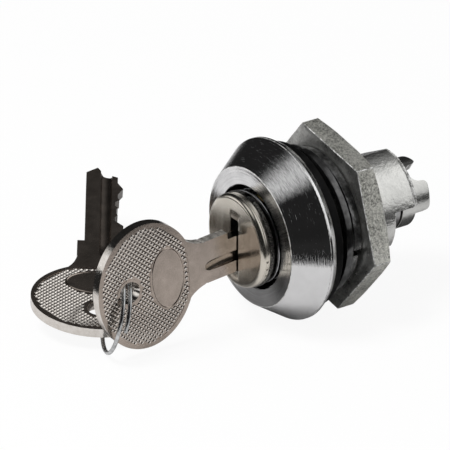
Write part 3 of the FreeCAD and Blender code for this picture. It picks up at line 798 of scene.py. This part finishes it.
def make_driver():
    """Cup with lugs between round notches, open on its lower side."""
    bore, wall, outer, front, cup, end = 3.25, 4.2, 5.85, 20.7, 23.5, 26.5
    outline = rounded([(bore, front), (outer, front), (outer, end), (wall, end), (wall, cup), (bore, cup)],
                      [0.02, 0.12, 0.35, 0.15, 0.2, 0.02], 4)
    half, floor, clear = 1.75, 25.25, 29
    flare = [(1.78, 25.6), (1.9, 25.95), (2.12, 26.22), (2.45, 26.42), (2.9, 26.52)]
    turns = [math.pi * k / 16 for k in range(17)]
    notch = [(-across, y) for across, y in reversed(flare)]
    notch += [(-half * math.cos(turn), floor - half * math.sin(turn)) for turn in turns]
    notch += flare + [(2.9, clear), (-2.9, clear)]
    cutters = [turned_about_axis(prism("notch", notch, -9, 9), angle) for angle in (33, 123)]
    cutters.append(lathe("open_side", ring_corners(3.0, 7.0, cup, clear), start=106, sweep=107, steps=40))
    mesh = softened(carve(lathe("driver", outline, steps=120), cutters), 0.45, 4, 40)
    made = piece("drive_cup", mesh, "plug", SMOOTH, ["driver"])


# Keys. A flat key lies with u along its blade and v towards its uncut side. HALF is half its thickness
# and NECK half the height of its neck. An oval is its centre, half its length and half its height.

HALF = 0.85
NECK = 3.95
BOW_START = -8.2
BOW = (-16.7, 9.6, 11.6)
HOLE = (-20.1, 2.0, 2.0)
PANEL = (-12.5, 3.3, 5.75)
KEY_PAINTS = (KEY, EDGE, KNURL, SHEAR, CUT)


def oval_points(oval, grow=0.0, steps=64):
    """Line round an oval that is grown by a margin."""
    centre, half_u, half_v = oval[0], oval[1] + grow, oval[2] + grow
    turns = [TAU * k / steps for k in range(steps)]
    return [(centre + half_u * math.cos(turn), half_v * math.sin(turn)) for turn in turns]


def inside(u, v, oval, grow):
    """True inside an oval that is grown by a margin."""
    return ((u - oval[0]) / (oval[1] + grow)) ** 2 + (v / (oval[2] + grow)) ** 2 < 1


def key_outline():
    """Edge of the flat key, in the order top of the neck, blade, cuts, neck, bow."""
    low, high = -NECK, 2.7
    first, pitch, half_floor = 6.95, 2.35, 0.55
    depths = (1.5, 1.3, 1.5, 1.05, 0.15, 1.1)
    pointed = 0.3
    length = first + 5 * pitch + 4.1
    neck_end, waist_u = -4.8, -6.5
    line = [(neck_end, NECK), (0.0, NECK), (0.0, high), (length - 1.6, high), (length, high - 2.0),
            (length - 1.9, high - 3.0), (length - 2.6, low + depths[5] + 0.75),
            (length - 2.9, low + depths[5])]
    for k in reversed(range(6)):
        middle, level = first + k * pitch, low + depths[k]
        if depths[k] < pointed:
            line.append((middle, level))
            continue
        line += [(middle + half_floor, level), (middle - half_floor, level)]
        if k and depths[k - 1] >= pointed:
            crest = low + min(depths[k - 1], depths[k]) - 0.3
            line.append((middle - pitch / 2, max(crest, low)))
    line += [(first - half_floor - depths[0], low), (neck_end, low)]
    line = rounded(line, 0.12, 2)
    centre, half_u, half_v = BOW
    flare = half_v * math.sqrt(1 - ((BOW_START - centre) / half_u) ** 2)
    waist = (NECK + flare) / 2 - 0.3
    lower = arc_line((neck_end, -NECK), (waist_u, -waist), (BOW_START, -flare), 8)[1:]
    upper = arc_line((BOW_START, flare), (waist_u, waist), (neck_end, NECK), 8)[:-1]
    start = math.atan2(-flare / half_v, (BOW_START - centre) / half_u)
    sweep, steps = TAU + 2 * start, 96
    turns = [start - sweep * k / steps for k in range(1, steps)]
    oval = [(centre + half_u * math.cos(turn), half_v * math.sin(turn)) for turn in turns]
    return line + lower + oval + upper


def knurl_points():
    """Places of the small pyramids on the bow, on a slanted grid."""
    pitch, far = 0.66, 40
    places = []
    for row in range(-far, far + 1):
        for column in range(-far, far + 1):
            u = BOW[0] + (row + column) * pitch / math.sqrt(2)
            v = (row - column) * pitch / math.sqrt(2)
            on_bow = inside(u, v, BOW, -0.78) and u <= BOW_START - 0.4
            if on_bow and not inside(u, v, HOLE, 0.6) and not inside(u, v, PANEL, 0.25):
                places.append((u, v))
    return places


def knurl_mesh():
    """Pyramids with cut tops on both faces of the bow."""
    foot, top, sunk, rise = 0.434, 0.168, 0.07, 0.06
    points, faces = [], []
    for side in (-1, 1):
        for u, v in knurl_points():
            base = len(points)
            for reach, level in ((foot, HALF - sunk), (top, HALF + rise)):
                for du, dv in ((reach, 0), (0, reach), (-reach, 0), (0, -reach)):
                    points.append((u + du, v + dv, side * level))
            quad = [base + k for k in range(4)]
            lid = [base + 4 + k for k in range(4)]
            made = [(quad[k], quad[(k + 1) % 4], lid[(k + 1) % 4], lid[k]) for k in range(4)]
            made += [tuple(lid), tuple(reversed(quad))]
            faces += [face[::side] for face in made]
    mesh = mesh_from("knurl", points, faces)
    for face in mesh.polygons:
        # The pyramids take the lighter knurl finish, a painted highlight.
        face.material_index = KEY_PAINTS.index(KNURL)
    return mesh


def sunk_field(side):
    """Cutter for the knurled field of one face. The hole's boss, the panel and the bow's root stay."""
    depth, border, boss, frame_width = 0.06, 0.8, 0.45, 0.15
    root = [(BOW_START, -9), (0, -9), (0, 9), (BOW_START, 9)]
    kept = (oval_points(HOLE, boss, 48), oval_points(PANEL, frame_width), root)
    field = prism("field", oval_points(BOW, -border, 96), HALF - depth, 3)
    field = carve(field, [prism("kept", outline, 0.5, 4) for outline in kept])
    if side < 0:
        field.transform(Matrix.Rotation(math.pi, 4, "X"))
    return field


def long_groove(side):
    """Cutter for the groove of one face, which runs out in an arc on the neck."""
    middle, wide, depth, far = -0.85, 0.98, 0.68, 30.0
    radius, arc_end, arc_length = 17.0, -0.3, 4.6
    run = []
    for k in range(13):
        u = arc_end - arc_length * (1 - k / 12)
        run.append((u, radius - math.sqrt(radius ** 2 - (u - arc_end) ** 2)))
    run.append((far, 0.0))
    turns = [math.pi * k / 14 for k in range(15)]
    across = [(-wide * math.cos(turn), -depth * math.sin(turn) ** 0.6) for turn in turns]
    across = [(-wide, 1.0)] + across + [(wide, 1.0)]
    rows = [[(u, middle + dv, side * (HALF + lift + level)) for dv, level in across] for u, lift in run]
    return cleaned(skin("groove", rows))


def panel_rim(side):
    """Thin raised rim round the panel of one face."""
    width, height, sunk = 0.35, 0.1, 0.02
    lines = ((0.0, HALF - sunk), (-width / 2, HALF + height), (-width, HALF - sunk))
    rows = [[(u, v, side * level) for u, v in oval_points(PANEL, grow)] for grow, level in lines]
    return skin("rim", rows[::side], "joined")


def joined(name, meshes):
    """One mesh of several."""
    shape = bmesh.new()
    for mesh in meshes:
        shape.from_mesh(mesh)
    result = bpy.data.meshes.new(name)
    shape.to_mesh(result)
    shape.free()
    return result


def key_mesh():
    """Whole key, lying flat at its own origin."""
    neck_from, blade_from = -7.5, 0.2

    def paint_of(face, middle):
        on_wall = abs(face.normal.z) < 0.05 and abs(middle.z) < 0.1
        if not on_wall:
            return None
        # Blade walls take the dark cut finish, painted shade; bow walls take the lighter edge finish, a
        # painted highlight.
        return EDGE if middle.x < neck_from else SHEAR if middle.x < blade_from else CUT

    sides = (-1, 1)
    cutters = [prism("hole", oval_points(HOLE, steps=48), -3, 3)]
    cutters += [sunk_field(side) for side in sides] + [long_groove(side) for side in sides]
    body = carve(prism("plate", key_outline(), -HALF, HALF), cutters)
    body.materials.clear()
    brush(painted(body, KEY_PAINTS), paint_of)
    # The rounded edges take the lighter edge finish, a painted highlight.
    body = softened(body, 0.18, 3, 50, KEY_PAINTS.index(EDGE))
    return painted(joined("key", [body, knurl_mesh()] + [panel_rim(side) for side in sides]), KEY_PAINTS)


def key_axes(yaw, pitch, roll):
    """Blade direction, uncut-side direction and face normal of a key."""
    yaw, pitch, roll = (math.radians(a) for a in (yaw, pitch, roll))
    forward = Vector((math.cos(pitch) * math.cos(yaw), math.cos(pitch) * math.sin(yaw), math.sin(pitch)))
    level = Vector((-math.sin(yaw), math.cos(yaw), 0))
    upward = forward.cross(level)
    side = level * math.cos(roll) + upward * math.sin(roll)
    return forward, side, forward.cross(side)


def make_key(name, flat, origin, axes, body, stands_for):
    """One key of the flat mesh, set in its place."""
    forward, side, normal = axes
    mesh = flat.copy()
    mesh.transform(Matrix((
        (forward.x, side.x, normal.x, origin.x * MM),
        (forward.y, side.y, normal.y, origin.y * MM),
        (forward.z, side.z, normal.z, origin.z * MM),
        (0, 0, 0, 1))))
    made = piece(name, mesh, body, KEY, [stands_for], 30)


def make_keys_and_ring():
    """Key in the lock, wire ring and spare key."""
    flat = key_mesh()
    shoulder = Vector((0, -12.0, -1.4))
    axes = key_axes(90, 5.3, 90)
    make_key("lock_key", flat, shoulder, axes, "key", "key")

    radius, wire, shift, above_hole = 7.227, 0.35, 0.575, 0.54
    first, last, step, cross_from, cross_to = -40, 420, 2, 60, 320
    axis = Vector((0.369, 0.9013, -0.2271)).normalized()
    out = Vector((0.5763, -0.0303, 0.8168))
    out = (out - axis * out.dot(axis)).normalized()
    across = axis.cross(out)
    centre = shoulder + axes[0] * HOLE[0] + axes[1] * above_hole - out * radius

    def on_wire(angle):
        """Point of the wire, which crosses over once, so that its two ends lie side by side."""
        drift = min(max((angle - cross_from) / (cross_to - cross_from), 0), 1)
        turn = math.radians(angle)
        on_circle = centre + (out * math.cos(turn) + across * math.sin(turn)) * radius
        return on_circle + axis * shift * (2 * drift - 1)

    path = [on_wire(angle) for angle in range(first, last + step, step)]
    made = piece("wire_ring", tube("wire_ring", path, wire, 20), "ring", WIRE, ["key_ring"], 60)

    hangs_at, past_hole, below_hole = 210.0, 0.43, 0.9
    axes = key_axes(146.06, 8.36, 3.19)
    origin = on_wire(hangs_at) - axes[0] * (HOLE[0] + past_hole) + axes[1] * below_hole
    make_key("second_key", flat, origin, axes, "spare", "spare_key")


make_bezel()
make_barrel()
make_gasket()
make_flat_washer()
make_spring_washer()
make_nut()
make_cap()
make_thrust_ring()
make_coil()
make_stop_cam()
make_driver()
make_keys_and_ring()

# The hidden solids keep their own form and get a finish.
hidden = {"plug_core": ZINC, "locking_dog": STEEL, "dog_spring": SPRING, "retaining_ring": SPRING}
for number in range(1, 7):
    hidden["wafer_%d" % number] = BRASS
    hidden["wafer_spring_%d" % number] = SPRING
for name, paint in hidden.items():
    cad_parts[name].data.materials.clear()
    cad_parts[name].data.materials.append(paint)


# Studio

def make_floor():
    """Pale floor, white for the camera, with a faint shadow.

    Shiny metal sees a light sheet on it, with three round patches of painted shadow under the lock, and dark
    beyond.
    """
    wide, level = 2500, -16
    corners = [(-wide, -wide, level), (wide, -wide, level), (wide, wide, level), (-wide, wide, level)]
    f = Finish("floor")
    camera, glossy = f.rays()
    x, y, _ = f.split(f.spot())
    right_edge = f.smooth(x, 0.0385, 0.0415, 1.0, 0.0)
    far_corner = f.smooth(x - y, -0.195, -0.078)
    near_edge = f.smooth(y, -0.060, -0.054)
    sheet = right_edge * far_corner * near_edge
    # Painted shadows of the cap and key, the bezel, and the tail on the sheet, seen only in reflections.
    for shadow_x, shadow_y, inner, outer, share in ((-0.006, -0.017, 0.0045, 0.0135, 0.25),
                                                  (-0.002, -0.001, 0.001, 0.0105, 0.4),
                                                  (0.001, 0.034, 0.008, 0.016, 0.12)):
        across, along = x - shadow_x, y - shadow_y
        reach = (across * across + along * along) ** 0.5
        sheet = sheet * f.smooth(reach, inner, outer, share)
    f.set(Base_Color=f.blend(camera, (0.74, 0.735, 0.74), (1.0, 1.0, 1.0)), Roughness=0.9)
    white = f.node("Emission", None, {"Color": (1.0, 1.0, 1.0), "Strength": 1.0})
    dark = f.node("Emission", None, {"Color": (0.02, 0.02, 0.02), "Strength": 1.0})
    lit = Value(f, f.shader.outputs[0])
    seen = f.node("MixShader", None, {0: camera * 0.92, 1: lit, 2: white})
    mixed = f.node("MixShader", None, {0: glossy * (1.0 - sheet), 1: seen, 2: dark})
    f.tree.links.new(mixed.socket, f.tree.nodes["Material Output"].inputs["Surface"])
    made = placed("floor", painted(mesh_from("floor", corners, [(0, 1, 2, 3)]), [f.material]))


def make_world():
    """White backdrop for the camera, even light for dull surfaces, four soft light fields for shiny ones."""
    world = bpy.context.scene.world or bpy.data.worlds.new("studio")
    bpy.context.scene.world = world
    f = Finish("studio", world)
    camera, glossy = f.rays()
    x, y, z = f.split(f.node("TexCoord"))

    def light_from(direction, outer, inner, strength):
        aim = Vector(direction).normalized()
        facing = x * aim.x + y * aim.y + z * aim.z
        return f.smooth(facing, math.cos(math.radians(outer)), math.cos(math.radians(inner))) * strength

    top = light_from((-0.06, -0.45, 0.89), 27, 4, 0.62)
    back = light_from((0.4967, 0.7094, 0.5), 50, 20, 0.85)
    sky = light_from((0.05, 0.545, 0.839), 45, 8, 0.2)
    left = light_from((-0.707, -0.707, 0.0), 32, 14, 0.8)
    dim, even = 0.014, 0.36
    level = glossy * (top + back + sky + left + dim) + (1.0 - glossy) * even
    background = f.tree.nodes["Background"]
    background.inputs["Color"].default_value = (1, 1, 1, 1)
    f.feed(background.inputs["Strength"], camera + (1.0 - camera) * level)


def aimed(name, data, place, way):
    """Lamp or camera at a place, looking one way."""
    made = placed(name, data)
    made.location = place
    made.rotation_mode = "QUATERNION"
    made.rotation_quaternion = way.to_track_quat("-Z", "Y")
    return made


def make_lamp():
    """Soft square lamp above the front, aimed at the lock."""
    lamp = bpy.data.lights.new("top_light", "AREA")
    lamp.shape = "SQUARE"
    lamp.size = 0.22
    lamp.energy = 2.5
    place = Vector((-0.04, -0.27, 0.53))
    aimed("top_light", lamp, place, -place).visible_glossy = False


def make_camera():
    """Long lens from the photograph's place."""
    focal_pixels, photo_width, sensor = 5251, 450, 36.0
    lens = bpy.data.cameras.new("camera")
    lens.sensor_width = sensor
    lens.lens = focal_pixels / photo_width * sensor
    lens.clip_start = 0.05
    lens.clip_end = 20
    turn, rise = math.radians(55.7), math.radians(25.9)
    back = Vector((math.sin(turn) * math.cos(rise), -math.cos(turn) * math.cos(rise), math.sin(rise)))
    bpy.context.scene.camera = aimed("camera", lens, Vector((657.3, -460.6, 390.0)) * MM, -back)


make_floor()
make_world()
make_lamp()
make_camera()
bpy.context.scene.view_settings.view_transform = "Standard"
